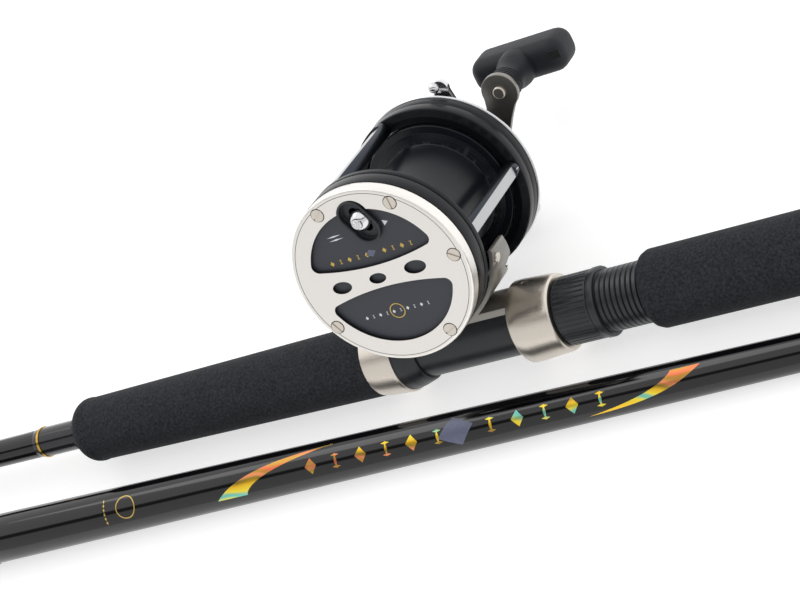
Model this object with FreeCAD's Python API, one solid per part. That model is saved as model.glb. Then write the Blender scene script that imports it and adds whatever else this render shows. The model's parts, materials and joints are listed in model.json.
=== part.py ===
import FreeCAD, Part
import math
import os

# A two-piece trolling rod, taken apart and laid down: the handle section with its star drag reel,
# and the tip section beside it. Millimetres, +Z up from the floor, +X along the rod to the butt.
# The handle section is drawn upright, with x = 0 under the spool and z = 0 on the rod's axis, and
# lay_down turns it over onto the reel's star wheel. The origin is the middle of the butt's end.

# --- driving dimensions: handle section, along the rod ---
LEAN = 36.0                # degrees that the reel leans away, about the rod's axis
BUTT_END = 345.0
BUTT_CAP_START = 318.0
REAR_GRIP_START = 85.0
THREAD_END = 86.0
THREAD_START = 42.0
NUT_START = 45.6
NUT_END = 65.0
MOVING_HOOD_START = 26.0
MOVING_HOOD_END = 45.0
COLLAR_END = -23.0
COLLAR_START = -33.0
FIXED_HOOD_START = -48.0
FOREGRIP_START = -212.0
WINDING_START = -240.0
GUIDE_X = -330.0
SLEEVE_START = -450.0
SLEEVE_END = -385.0

BLANK_R = 6.5
BLANK_TIP_R = 6.0
BARREL_R = 13.0
THREAD_R = 12.9
THREAD_ROOT_R = 12.2
THREAD_PITCH = 2.4
HOOD_R = 17.4
REAR_GRIP_R = 16.3
BUTT_CAP_R = 17.5
SLEEVE_R = 8.0

# --- driving dimensions: reel, from the spool's axis, with y from face to handle ---
SPOOL_H = 54.0             # spool axis above the rod axis
PLATE_R = 39.0
RING_R = 39.2
RING_BORE_R = 33.0
LEFT_FACE = -41.0
LEFT_CAP_REAR = -35.3
LEFT_RING_REAR = -24.0
RIGHT_RING_FRONT = 27.0
RIGHT_RING_REAR = 33.0
RIGHT_RIM = 38.6
RIGHT_FACE = 41.0
FLANGE_R = 32.2
ARBOR_R = 24.5
SHAFT_R = 2.5
WINDOW_R = 30.3
SCREW_RING_R = 34.8
SCREW_ANGLES = (1.0, 56.0, 113.0, 209.0, 300.0)
PILLAR_R = 3.4
PILLAR_FLAT = 2.5          # from a pillar's axis to its milled flat
PILLAR_RING_R = 36.0
PILLAR_ANGLES = (3.0, 108.0, 209.0, 285.0)
STAND_ANGLES = (-14.0, -166.0)
STAND_TAB = 6.5            # degrees from the band's end to its screw
STAND_SCREW_Y = -19.3
CLICKER = (2.4, 24.6)
CLICKER_RUN = (0.406, -0.914)
CLICK_GEAR_R = 13.0
CLICK_TONGUE = 11.6        # from the clicker's stem to the tongue's tip

MODULE = 0.65
GEAR_TEETH = 48
PINION_TEETH = 16
CRANK = (9.4, -18.56)      # crank axis, one gear centre distance from the spool axis
KNOB = (30.6, 25.2)
ARM_Y = 55.5
ARM_T = 2.5
STAR_Y = 51.0
STAR_REACH = 16.3
STAR_BALL_R = 3.0
LEVER_PIVOT = (14.5, 21.5)
DOG = (-8.5, -22.5)
KNOB_BAR = (45.0, 20.0, 15.5)
KNOB_BAR_START = 77.0
BRIDGE_START = 29.2
BRIDGE_END = 30.6
FOOT_START = -38.0
FOOT_END = 36.5
FOOT_HALF_WIDTH = 9.0
FOOT_T = 2.3

# --- driving dimensions: tip section, from its socket end ---
TIP_LENGTH = 1130.0
TIP_BUTT_R = 11.6
TIP_TAPER = 0.0089         # radius lost per millimetre
SOCKET_R = 8.06
SOCKET_DEPTH = 62.0
TIP_ORIGIN = (-300.0, -41.0)
TIP_YAW = 0.47
TIP_ROLL = 40.0            # the guides point up and out from the handle section
TIP_GUIDES = ((490.0, 10.0, 24.0), (680.0, 8.0, 19.0), (840.0, 6.5, 15.0), (970.0, 5.2, 12.0),
              (1065.0, 4.4, 10.0))       # place, ring bore radius, ring height over the axis
GUIDE_RING_T = 2.0
THREAD_T = 0.55            # thickness of a guide's thread wraps

FIT = 0.05                 # running clearance of shafts in their bores
GLUE = 0.03                # gap of the glued guides over their blank
AXIS_X = FreeCAD.Vector(1, 0, 0)
AXIS_Y = FreeCAD.Vector(0, 1, 0)
AXIS_Z = FreeCAD.Vector(0, 0, 1)
ORIGIN = FreeCAD.Vector(0, 0, 0)


def vec(x, y, z):
    return FreeCAD.Vector(x, y, z)


def lay_down(shape):
    """Upright working place to the part's own frame, lying on the floor."""
    out = shape.copy()
    out.rotate(ORIGIN, AXIS_X, -LEAN)
    out.translate(vec(-BUTT_END, 0, 0))
    return out


def lay_tip(shape):
    """Tip section from its own axis, socket end at the origin, to its place on the floor."""
    out = shape.copy()
    end_r = TIP_BUTT_R - TIP_TAPER * TIP_LENGTH
    pitch = math.degrees(math.asin((TIP_BUTT_R - end_r) / TIP_LENGTH))
    out.rotate(ORIGIN, AXIS_X, TIP_ROLL)
    out.rotate(ORIGIN, AXIS_Y, pitch)
    out.rotate(ORIGIN, AXIS_Z, TIP_YAW)
    lift = TIP_BUTT_R + THREAD_T + 0.02 - BUTT_CAP_R
    out.translate(vec(TIP_ORIGIN[0] - BUTT_END, TIP_ORIGIN[1], lift))
    return out


def save(name, shape, place=lay_down):
    placed = place(shape)
    for solid in placed.Solids:
        if not solid.isValid():
            print("not valid:", name)
    placed.exportStep("parts/" + name + ".step")
    print(name, len(placed.Solids), round(placed.Volume, 1))


def tube_x(x0, x1, outer, inner=0.0):
    body = Part.makeCylinder(outer, x1 - x0, vec(x0, 0, 0), AXIS_X)
    if inner > 0:
        body = body.cut(Part.makeCylinder(inner, x1 - x0 + 2, vec(x0 - 1, 0, 0), AXIS_X))
    return body


def tube_y(y0, y1, outer, inner=0.0, at=(0.0, 0.0)):
    """A tube along y about a point given from the spool's axis."""
    base = vec(at[0], y0, SPOOL_H + at[1])
    body = Part.makeCylinder(outer, y1 - y0, base, AXIS_Y)
    if inner > 0:
        body = body.cut(Part.makeCylinder(inner, y1 - y0 + 2, base - vec(0, 1, 0), AXIS_Y))
    return body


def turned_x(outline):
    """Revolve a closed (x, radius) outline about the rod's axis."""
    points = [vec(x, 0, r) for x, r in outline]
    face = Part.Face(Part.makePolygon(points + points[:1]))
    return face.revolve(ORIGIN, AXIS_X, 360)


def turned_y(outline, at=(0.0, 0.0), start=0.0, sweep=360.0):
    """Revolve a closed (y, radius) outline about an axis along y, placed from the spool's axis."""
    centre = vec(at[0], 0, SPOOL_H + at[1])
    points = [centre + vec(r, y, 0) for y, r in outline]
    face = Part.Face(Part.makePolygon(points + points[:1]))
    face.rotate(centre, AXIS_Y, start)
    return face.revolve(centre, AXIS_Y, sweep)


def saddle_x(x0, x1, inner, outer, half_angle):
    """A piece of tube over the top of the rod, half_angle degrees to each side."""
    points = [vec(x0, 0, inner), vec(x1, 0, inner), vec(x1, 0, outer), vec(x0, 0, outer)]
    face = Part.Face(Part.makePolygon(points + points[:1]))
    face.rotate(ORIGIN, AXIS_X, -half_angle)
    return face.revolve(ORIGIN, AXIS_X, 2 * half_angle)


def rounded(shape, radius, chosen):
    """Fillet the edges that the test picks by their middle."""
    edges = [e for e in shape.Edges if chosen(e.BoundBox)]
    return shape.makeFillet(radius, edges)


def fuse(shapes):
    body = shapes[0]
    for other in shapes[1:]:
        body = body.fuse(other)
    return body.removeSplitter()


def polar(radius, degrees):
    turn = math.radians(degrees)
    return (radius * math.cos(turn), radius * math.sin(turn))


def slab_y(face_2d, y0, y1):
    """Extrude a face drawn in the plane y = 0 from y0 to y1."""
    face = face_2d.copy()
    face.translate(vec(0, y0, 0))
    return face.extrude(vec(0, y1 - y0, 0))


def disc_face(radius, at=(0.0, 0.0)):
    circle = Part.Circle(vec(at[0], 0, SPOOL_H + at[1]), AXIS_Y, radius)
    return Part.Face(Part.Wire([circle.toShape()]))


def clicker_slot(radius, y0, y1):
    """A round-ended slot along the clicker's run, as a solid."""
    ux, uz = CLICKER_RUN
    half_run = 4.0
    a = (CLICKER[0] - half_run * ux, CLICKER[1] - half_run * uz)
    b = (CLICKER[0] + half_run * ux, CLICKER[1] + half_run * uz)
    corners = []
    for end, sign in ((a, 1), (b, 1), (b, -1), (a, -1)):
        corners.append(vec(end[0] - sign * uz * radius, 0, SPOOL_H + end[1] + sign * ux * radius))
    middle = slab_y(Part.Face(Part.makePolygon(corners + corners[:1])), y0, y1)
    return fuse([middle, tube_y(y0, y1, radius, 0, a), tube_y(y0, y1, radius, 0, b)])


# --- gears ---

def gear(teeth, y0, y1, bore, at, phase):
    """A spur gear with involute flanks, drawn with a little backlash."""
    pitch_r = MODULE * teeth / 2
    base_r = pitch_r * math.cos(math.radians(25.0))
    tip_r = pitch_r + 0.7 * MODULE
    root_r = pitch_r - 1.2 * MODULE
    half_tooth = (math.pi * MODULE / 2 - 0.22) / (2 * pitch_r)

    def involute(radius):
        tangent = math.sqrt(max(radius * radius / (base_r * base_r) - 1, 0.0))
        return tangent - math.atan(tangent)

    points = []
    steps = 4
    for tooth in range(teeth):
        middle = math.radians(phase) + 2 * math.pi * tooth / teeth
        flank = []
        start_r = max(base_r, root_r)
        for i in range(steps + 1):
            radius = start_r + (tip_r - start_r) * i / steps
            flank.append((radius, half_tooth + involute(pitch_r) - involute(radius)))
        points.append((root_r, middle - flank[0][1]))
        points += [(radius, middle - angle) for radius, angle in flank]
        points += [(radius, middle + angle) for radius, angle in reversed(flank)]
        points.append((root_r, middle + flank[0][1]))
    corners = []
    for radius, angle in points:
        spot = vec(at[0] + radius * math.cos(angle), 0, SPOOL_H + at[1] + radius * math.sin(angle))
        if not corners or (spot - corners[-1]).Length > 1e-4:
            corners.append(spot)
    face = Part.Face(Part.makePolygon(corners + corners[:1]))
    return slab_y(face, y0, y1).cut(tube_y(y0 - 1, y1 + 1, bore, 0, at))


# --- rod: handle section ---

def handle_blank():
    return turned_x([(SLEEVE_START, 0), (SLEEVE_START, BLANK_TIP_R), (SLEEVE_END, BLANK_TIP_R),
                     (WINDING_START, BLANK_R), (BUTT_CAP_START + 6, BLANK_R),
                     (BUTT_CAP_START + 6, 0)])


def foregrip():
    nose = 9.0
    profile = [vec(FOREGRIP_START, 0, BLANK_R), vec(FOREGRIP_START, 0, 9.4)]
    edges = [Part.LineSegment(profile[0], profile[1]).toShape()]
    mid = vec(FOREGRIP_START + 2.1, 0, 13.0)
    end = vec(FOREGRIP_START + nose, 0, 14.55)
    edges.append(Part.Arc(profile[1], mid, end).toShape())
    back = vec(FIXED_HOOD_START, 0, 16.2)
    inner = vec(FIXED_HOOD_START, 0, BLANK_R)
    edges.append(Part.LineSegment(end, back).toShape())
    edges.append(Part.LineSegment(back, inner).toShape())
    edges.append(Part.LineSegment(inner, profile[0]).toShape())
    return Part.Face(Part.Wire(edges)).revolve(ORIGIN, AXIS_X, 360)


def winding():
    return turned_x([(WINDING_START, BLANK_R), (WINDING_START + 2, BLANK_R + 0.45),
                     (FOREGRIP_START - 4, BLANK_R + 0.45), (FOREGRIP_START - 4, BLANK_R)])


def trim_ring():
    """A bright ring over the head of the winding."""
    x0, x1 = WINDING_START + 3.0, WINDING_START + 4.2
    r0, r1 = BLANK_R + 0.45, BLANK_R + 0.8
    return turned_x([(x0, r0), (x0, r1), (x1, r1), (x1, r0)])


def winding_check():
    return turned_x([(FOREGRIP_START - 4, BLANK_R), (FOREGRIP_START - 4, BLANK_R + 0.9),
                     (FOREGRIP_START - 2.5, 8.8), (FOREGRIP_START, 8.8),
                     (FOREGRIP_START, BLANK_R)])


def rear_grip():
    nose = 3.0
    body = turned_x([(REAR_GRIP_START, BLANK_R), (REAR_GRIP_START, REAR_GRIP_R - nose),
                     (REAR_GRIP_START + 0.9, REAR_GRIP_R - 0.9), (REAR_GRIP_START + nose,
                     REAR_GRIP_R), (BUTT_CAP_START, REAR_GRIP_R), (BUTT_CAP_START, BLANK_R)])
    return body.cut(tube_x(REAR_GRIP_START - 1, THREAD_END, THREAD_R))


def butt_cap():
    edge = 5.0
    body = tube_x(BUTT_CAP_START, BUTT_END, BUTT_CAP_R)
    body = rounded(body, edge, lambda b: b.XMin > BUTT_END - 0.1 and b.ZLength > 2 * edge)
    body = rounded(body, 1.0, lambda b: b.XMax < BUTT_CAP_START + 0.1 and b.ZLength > 2 * edge)
    return body.cut(tube_x(BUTT_CAP_START - 1, BUTT_CAP_START + 6, BLANK_R))


def seat_barrel():
    return tube_x(FIXED_HOOD_START, THREAD_START, BARREL_R, BLANK_R)


def seat_thread():
    body = tube_x(THREAD_START, THREAD_END, THREAD_R, BLANK_R)
    turns = int((THREAD_END - THREAD_START) / THREAD_PITCH)
    for i in range(turns):
        x = THREAD_START + 1.6 + i * THREAD_PITCH
        body = body.cut(turned_x([(x - 0.55, THREAD_R + 0.1), (x, THREAD_ROOT_R),
                                  (x + 0.55, THREAD_R + 0.1)]))
    return body


def foot_pocket(x0, x1, radius):
    """The room that a hood leaves over the barrel for an end of the reel's foot."""
    return saddle_x(x0, x1, BARREL_R - 0.2, radius, 50.0)


def fixed_hood():
    body = turned_x([(FIXED_HOOD_START, BARREL_R), (FIXED_HOOD_START, 16.2),
                     (FIXED_HOOD_START + 3, 16.6), (COLLAR_START - 1, 17.4),
                     (COLLAR_START, 17.2), (COLLAR_START, BARREL_R)])
    return body.cut(foot_pocket(FIXED_HOOD_START + 4, COLLAR_START + 1, 15.6))


def hood_collar():
    body = turned_x([(COLLAR_START, BARREL_R), (COLLAR_START, 16.6), (COLLAR_END - 6, 16.0),
                     (COLLAR_END - 1, 14.6), (COLLAR_END, 14.0), (COLLAR_END, BARREL_R)])
    return body.cut(foot_pocket(COLLAR_START - 1, COLLAR_END + 1, 20.0))


def moving_hood():
    x0, x1 = MOVING_HOOD_START, MOVING_HOOD_END
    bore = BARREL_R + FIT
    body = turned_x([(x0, bore), (x0, 17.1), (x0 + 0.5, HOOD_R), (x0 + 4, HOOD_R),
                     (x1 - 2, 16.6), (x1 - 0.6, 16.3), (x1, 15.6), (x1, bore)])
    body = body.cut(foot_pocket(x0 - 1, x1 - 6, 15.8))
    view_slot = Part.makeBox(3.2, 1.8, 6, vec(x0 + 6.0, -0.9, 14.5))
    return body.cut(view_slot)


def hood_nut():
    ribs = 40
    bore = BARREL_R + FIT
    body = turned_x([(NUT_START, bore), (NUT_START, 13.9), (NUT_START + 0.6, 14.4),
                     (NUT_END - 3.4, 14.4), (NUT_END - 3.4, 13.9), (NUT_END - 3.0, 14.7),
                     (NUT_END - 0.6, 14.7), (NUT_END, 14.2), (NUT_END, bore)])
    cutters = []
    for i in range(ribs):
        y, z = polar(14.75, 360.0 * i / ribs)
        start = vec(NUT_START + 1.2, y, z)
        cutters.append(Part.makeCylinder(0.55, NUT_END - 5.4 - NUT_START, start, AXIS_X))
    return body.cut(Part.makeCompound(cutters))


def ferrule_sleeve():
    return turned_x([(SLEEVE_START, BLANK_TIP_R), (SLEEVE_START, SLEEVE_R - 0.6),
                     (SLEEVE_START + 0.6, SLEEVE_R), (SLEEVE_END - 4, SLEEVE_R),
                     (SLEEVE_END - 4, SLEEVE_R + 1.2), (SLEEVE_END, SLEEVE_R + 1.2),
                     (SLEEVE_END, BLANK_TIP_R)])


def guide_parts(x, blank_r, slope, bore, height):
    """One line guide on a blank along x: its wire frame, ring insert and thread wraps."""
    wire = 0.9 if bore < 9 else 1.2
    outer = bore + GUIDE_RING_T
    centre = vec(x, 0, height)
    ring = Part.makeTorus(bore + 1.0, 1.0, centre, AXIS_X)
    hoop = Part.makeCylinder(outer + 0.8, 2.0, centre - vec(1.0, 0, 0), AXIS_X)
    hoop = hoop.cut(Part.makeCylinder(outer, 4, centre - vec(2.0, 0, 0), AXIS_X))
    pieces = [hoop]
    foot_tops = {}
    foot_len = 12.0 + bore
    spread = 10.0 + bore
    for end in (-1, 1):
        reach = spread + foot_len * 0.55
        foot_r = blank_r + GLUE - slope * end * (spread if slope * end > 0 else reach)
        toe = x + end * reach
        foot = Part.makeBox(foot_len, 3.0, 1.3, vec(min(x + end * spread, toe), -1.5, foot_r))
        foot = foot.common(Part.makeCylinder(foot_r + 1.1, 500, vec(x - 250, 0, 0), AXIS_X))
        pieces.append(foot)
        foot_tops[end] = foot_r + 1.1
        for side in (-1, 1):
            y, z = polar(outer + 0.4, 270 + side * 38)
            top = vec(x, y, height + z)
            low = vec(x + end * (spread + 1.5), side * 0.6, foot_r + 0.6)
            run = low - top
            leg = Part.makeCylinder(wire, run.Length, top, run)
            pieces += [leg, Part.makeSphere(wire, low), Part.makeSphere(wire, top)]
    frame = pieces[0]
    for piece in pieces[1:]:
        frame = frame.fuse(piece)
    keep_out = Part.makeCone(blank_r + GLUE + slope * 60, blank_r + GLUE - slope * 60, 120,
                             vec(x - 60, 0, 0), AXIS_X)
    bore_room = Part.makeCylinder(outer, 12, centre - vec(6, 0, 0), AXIS_X)
    frame = frame.cut(keep_out).cut(bore_room)
    ring_seat = Part.makeCylinder(outer, 2.0, centre - vec(1.0, 0, 0), AXIS_X)
    ring_hole = Part.makeCylinder(bore + 1.0, 4, centre - vec(2.0, 0, 0), AXIS_X)
    ring = ring.fuse(ring_seat.cut(ring_hole))
    wraps = []
    for end in (-1, 1):
        a = x + end * (spread + 3.5)
        b = x + end * (spread + foot_len * 0.55 + 3.0)
        lo, hi = min(a, b), max(a, b)
        wrap = turned_x([(lo, 0), (lo, blank_r - slope * (lo - x) + THREAD_T),
                         (hi, blank_r - slope * (hi - x) + THREAD_T), (hi, 0)])
        top = foot_tops[end] + THREAD_T
        wrap = wrap.fuse(Part.makeBox(hi - lo, 3.6, top, vec(lo, -1.8, 0)))
        wrap = wrap.cut(keep_out).cut(frame)
        wraps.append(max(wrap.Solids, key=lambda s: s.Volume))
    frame = max(frame.Solids, key=lambda s: s.Volume)
    return frame, ring, wraps


# --- reel: frame ---

def left_side_cap():
    body = tube_y(LEFT_FACE, LEFT_CAP_REAR, PLATE_R)
    body = rounded(body, 1.1, lambda b: b.YMax < LEFT_FACE + 0.1 and b.XLength > 10)
    body = body.cut(tube_y(LEFT_FACE + 1.6, LEFT_CAP_REAR + 1, PLATE_R - 2.0))
    for window in (upper_window(0.0), lower_window(0.0)):
        body = body.cut(slab_y(window, LEFT_FACE - 1, LEFT_FACE + 3))
    for x, z, half_long, half_high in ((-19.3, -0.8, 4.5, 2.7), (-2.0, -0.7, 3.9, 2.3),
                                       (16.2, -0.1, 5.0, 2.9)):
        oval = Part.Ellipse(ORIGIN, half_long, half_high).toShape()
        oval.rotate(ORIGIN, AXIS_X, 90)
        oval.translate(vec(x, 0, SPOOL_H + z))
        body = body.cut(slab_y(Part.Face(Part.Wire([oval])), LEFT_FACE - 1, LEFT_FACE + 3))
    for angle in SCREW_ANGLES:
        body = body.cut(tube_y(LEFT_FACE - 1, LEFT_FACE + 3, 2.75, 0, polar(SCREW_RING_R, angle)))
    return body


def window_face(side, shrink):
    """A window between the face's rim and its waisted middle band, with rounded corners."""
    bow = 115.0
    rim = disc_face(WINDOW_R - shrink)
    arc = disc_face(bow - shrink, (0.0, side * (4.9 + bow)))
    face = rim.common(arc)
    solid = slab_y(face, 0, 1)
    solid = rounded(solid, 3.0, lambda b: b.YLength > 0.9 and b.XLength < 0.1)
    flat = [f for f in solid.Faces if abs(f.CenterOfMass.y) < 1e-6]
    return flat[0]


def upper_window(shrink):
    bump = disc_face(7.2 - shrink, (1.2, 27.4))
    return window_face(1, shrink).fuse(bump).removeSplitter()


def lower_window(shrink):
    return window_face(-1, shrink)


def window_plate():
    body = tube_y(LEFT_FACE + 1.6, LEFT_FACE + 3.0, PLATE_R - 2.0)
    body = body.cut(clicker_slot(6.2, LEFT_FACE, LEFT_FACE + 4))
    for angle in SCREW_ANGLES:
        body = body.cut(tube_y(LEFT_FACE - 1, LEFT_FACE + 4, 1.5, 0, polar(SCREW_RING_R, angle)))
    return body


def clicker_escutcheon():
    y0 = LEFT_FACE - 0.5
    rim = clicker_slot(6.2, y0, LEFT_FACE + 3.0)
    rim = rim.cut(clicker_slot(5.3, y0 - 1, LEFT_FACE + 2.2))
    return rim.cut(clicker_slot(1.9, y0 - 1, LEFT_FACE + 4))


def left_bearing_plate():
    y0 = LEFT_FACE + 3.0
    plate = tube_y(y0, LEFT_CAP_REAR, PLATE_R - 2.0)
    boss = tube_y(LEFT_CAP_REAR, -29.0, 10.0)
    body = fuse([plate, boss]).cut(tube_y(-33.5, -28, 6.0))
    body = body.cut(clicker_slot(1.9, y0 - 1, -30))
    for angle in SCREW_ANGLES:
        body = body.cut(tube_y(y0 - 1, -34, 1.5, 0, polar(SCREW_RING_R, angle)))
    return body


def left_frame_ring():
    groove = -27.9
    rear = LEFT_RING_REAR
    body = turned_y([(LEFT_CAP_REAR, RING_BORE_R), (LEFT_CAP_REAR, RING_R - 0.4),
                     (LEFT_CAP_REAR + 0.4, RING_R), (groove - 0.4, RING_R),
                     (groove, RING_R - 0.6), (groove + 0.4, RING_R), (rear - 0.8, RING_R),
                     (rear, RING_R - 0.8), (rear, RING_BORE_R)])
    for angle in SCREW_ANGLES:
        body = body.cut(tube_y(LEFT_CAP_REAR - 1, -28, 1.5, 0, polar(SCREW_RING_R, angle)))
    return body


def right_frame_ring():
    front, rear = RIGHT_RING_FRONT, RIGHT_RING_REAR
    return turned_y([(front, RING_BORE_R), (front, 36.0), (front + 0.8, RING_R - 0.3),
                     (front + 1.2, RING_R), (rear, RING_R), (rear, RING_BORE_R)])


def side_screws():
    screws = []
    for angle in SCREW_ANGLES:
        at = polar(SCREW_RING_R, angle)
        head = tube_y(LEFT_FACE - 0.3, LEFT_FACE + 1.6, 2.65, 0, at)
        shank = tube_y(LEFT_FACE + 1.6, -28.2, 1.45, 0, at)
        cut = Part.makeBox(8, 1.0, 0.7, vec(-4, LEFT_FACE - 1.0, -0.35))
        cut.rotate(ORIGIN, AXIS_Y, 35.0 + angle)
        cut.translate(vec(at[0], 0.2, SPOOL_H + at[1]))
        screws.append(head.fuse(shank).removeSplitter().cut(cut))
    return Part.makeCompound(screws)


def pillars():
    """Round bars between the frame rings, each milled flat on its outward side."""
    half_width = math.sqrt(PILLAR_R ** 2 - PILLAR_FLAT ** 2)
    run_out = RIGHT_RING_FRONT - 2.5 - half_width
    base_x = PILLAR_RING_R + PILLAR_FLAT
    mill = Part.makeBox(5, run_out - LEFT_RING_REAR + 1, 2 * half_width,
                        vec(base_x, LEFT_RING_REAR - 1, SPOOL_H - half_width))
    mill = mill.fuse(Part.makeCylinder(half_width, 5, vec(base_x, run_out, SPOOL_H), AXIS_X))
    rods = []
    for angle in PILLAR_ANGLES:
        rod = tube_y(LEFT_RING_REAR, RIGHT_RING_FRONT, PILLAR_R, 0, (PILLAR_RING_R, 0.0))
        rod = rod.cut(mill)
        rod.rotate(vec(0, 0, SPOOL_H), AXIS_Y, -angle)
        rods.append(rod)
    return rods


def reel_stand():
    """A pressed saddle: a band with a screwed tab at each end, and a foot for the reel seat."""
    inner, outer = RING_R + 0.1, RING_R + 1.7
    y0, y1 = LEFT_RING_REAR + 1.2, RIGHT_RING_FRONT - 3
    band = turned_y([(y0, inner), (y0, outer), (y1, outer), (y1, inner)], (0.0, 0.0),
                    -STAND_ANGLES[0], STAND_ANGLES[0] - STAND_ANGLES[1])
    slope = [(-10.0, 0.0), (-10.0, -9.5), (-2.0, -21.5), (-6.5, -25.0), (3.5, -30.5),
             (6.0, -36.0), (26.0, -38.0), (40.0, -38.0), (40.0, 0.0)]
    points = [vec(-60, y, SPOOL_H + z) for y, z in slope]
    band = band.cut(Part.Face(Part.makePolygon(points + points[:1])).extrude(vec(120, 0, 0)))
    foot = saddle_x(FOOT_START, FOOT_END, BARREL_R, BARREL_R + FOOT_T, 44.0)
    half = FOOT_HALF_WIDTH
    plan = Part.makeBox(FOOT_END - FOOT_START - 2 * half, 2 * half, 20,
                        vec(FOOT_START + half, -half, 0))
    for x in (FOOT_START + half, FOOT_END - half):
        plan = plan.fuse(Part.makeCylinder(half, 20, vec(x, 0, 0), AXIS_Z))
    body = band.fuse(foot.common(plan))
    body = body.cut(tube_x(-60, 60, BARREL_R + 0.02)).cut(tube_y(-60, 60, inner))
    for angle in STAND_ANGLES:
        x, z = polar(1.0, angle + STAND_TAB * (1 if angle < -90 else -1))
        start = vec(x * 36, STAND_SCREW_Y, SPOOL_H + z * 36)
        body = body.cut(Part.makeCylinder(1.6, 8, start, vec(x, 0, z)))
    return max(body.removeSplitter().Solids, key=lambda solid: solid.Volume)


def stand_screws():
    screws = []
    for angle in STAND_ANGLES:
        x, z = polar(1.0, angle + STAND_TAB * (1 if angle < -90 else -1))
        out = vec(x, 0, z)
        centre = vec(0, STAND_SCREW_Y, SPOOL_H)
        shank = Part.makeCylinder(1.5, 1.65, centre + out * (RING_R + 0.05), out)
        head = Part.makeCylinder(2.0, 1.1, centre + out * (RING_R + 1.7), out)
        screws.append(shank.fuse(head).removeSplitter())
    return screws


def right_housing():
    wall_r = 37.2
    body = turned_y([(RIGHT_RING_REAR, wall_r), (RIGHT_RING_REAR, PLATE_R), (RIGHT_RIM, PLATE_R),
                     (RIGHT_RIM, 37.8), (40.0, 37.8), (RIGHT_FACE, 36.6), (RIGHT_FACE, 0),
                     (39.4, 0), (39.4, wall_r)])
    body = body.fuse(tube_y(39.4, 44.5, 8.6))
    body = body.fuse(tube_y(39.4, 45.0, 8.0, 0, CRANK))
    body = body.fuse(tube_y(39.4, 42.2, 6.4, 0, LEVER_PIVOT)).removeSplitter()
    body = body.cut(tube_y(39.0, 43.0, 6.0))
    body = body.cut(tube_y(42.0, 45.0, 4.2))
    body = body.cut(tube_y(38, 46, 5.2, 0, CRANK))
    return body.cut(tube_y(38, 46, 2.5 + FIT, 0, LEVER_PIVOT))


def right_rim():
    return turned_y([(RIGHT_RIM, 37.8), (RIGHT_RIM, 39.3), (RIGHT_RIM + 0.5, 39.6),
                     (39.6, 39.6), (40.0, 39.0), (40.0, 37.8)])


def bridge_plate():
    body = tube_y(BRIDGE_START, BRIDGE_END, RING_BORE_R, 7.2)
    post = tube_y(BRIDGE_END, 52.0, 1.9, 0, CRANK)
    return body.fuse(post).removeSplitter()


def bridge_screws():
    screws = []
    for angle in (30.0, 150.0, 215.0, 330.0):
        at = polar(27.0, angle)
        screws.append(tube_y(BRIDGE_END, BRIDGE_END + 1.2, 2.2, 0, at))
    return screws


def bearing(y0, y1, outer):
    return tube_y(y0, y1, outer, SHAFT_R + FIT)


def bearing_cap():
    body = tube_y(44.5, 46.2, 6.4)
    return rounded(body, 0.7, lambda b: b.YMin > 46.1)


# --- reel: spool and free-spool mechanism ---

def spool():
    left, right = -26.6, 28.6
    thick = 2.2
    return turned_y([(left, SHAFT_R), (left, FLANGE_R - 0.6), (left + 0.6, FLANGE_R),
                     (left + thick, FLANGE_R), (left + thick + 0.3, 29.1),
                     (left + thick + 2.0, ARBOR_R), (right - thick - 2.0, ARBOR_R),
                     (right - thick - 0.3, 29.1), (right - thick, FLANGE_R),
                     (right - 0.6, FLANGE_R), (right, FLANGE_R - 0.6), (right, SHAFT_R)])


def spool_shaft():
    return tube_y(-33.3, 42.8, SHAFT_R)


def click_gear():
    teeth = 24
    body = tube_y(-28.6, -26.6, CLICK_GEAR_R, SHAFT_R)
    for i in range(teeth):
        notch = polar(CLICK_GEAR_R + 0.1, 360.0 * i / teeth)
        body = body.cut(tube_y(-29, -26.6, 0.9, 0, notch))
    return body


def clicker_button():
    y0 = LEFT_FACE - 2.6
    base = LEFT_FACE + 1.9
    body = turned_y([(base, 0), (base, 4.5), (base - 1.0, 4.5), (y0 + 1.2, 3.0), (y0, 2.2),
                     (y0, 0)], CLICKER)
    stem = tube_y(base, -31.6, 1.6, 0, CLICKER)
    nub = Part.makeSphere(1.3, vec(CLICKER[0] - 0.6, y0 - 0.1, SPOOL_H + CLICKER[1] + 1.4))
    return fuse([body, stem, nub])


def click_tongue():
    """A thin pawl on the button's stem that reaches towards the spool's click gear."""
    ux, uz = CLICKER_RUN
    near = 3.0
    far = CLICK_TONGUE
    corners = []
    for run, half in ((-near, 2.6), (far - 2.0, 2.2), (far, 0.5), (far, -0.5),
                      (far - 2.0, -2.2), (-near, -2.6)):
        x = CLICKER[0] + run * ux - half * uz
        z = CLICKER[1] + run * uz + half * ux
        corners.append(vec(x, 0, SPOOL_H + z))
    face = Part.Face(Part.makePolygon(corners + corners[:1]))
    body = slab_y(face, -31.6, -30.4)
    tooth = [vec(c.x, c.y, c.z) for c in corners[1:5]]
    tip = Part.Face(Part.makePolygon(tooth + tooth[:1]))
    return body.fuse(slab_y(tip, -30.4, -27.2)).removeSplitter()


def pinion():
    direction = math.degrees(math.atan2(-CRANK[1], -CRANK[0]))
    phase = direction + 180.0 + 180.0 / PINION_TEETH
    teeth = gear(PINION_TEETH, 32.35, 36.3, SHAFT_R + FIT, (0.0, 0.0), phase)
    neck = tube_y(30.7, 32.35, 3.6, SHAFT_R + FIT)
    lip = tube_y(29.9, 30.7, 5.6, SHAFT_R + FIT)
    return fuse([teeth, neck, lip])


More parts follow.
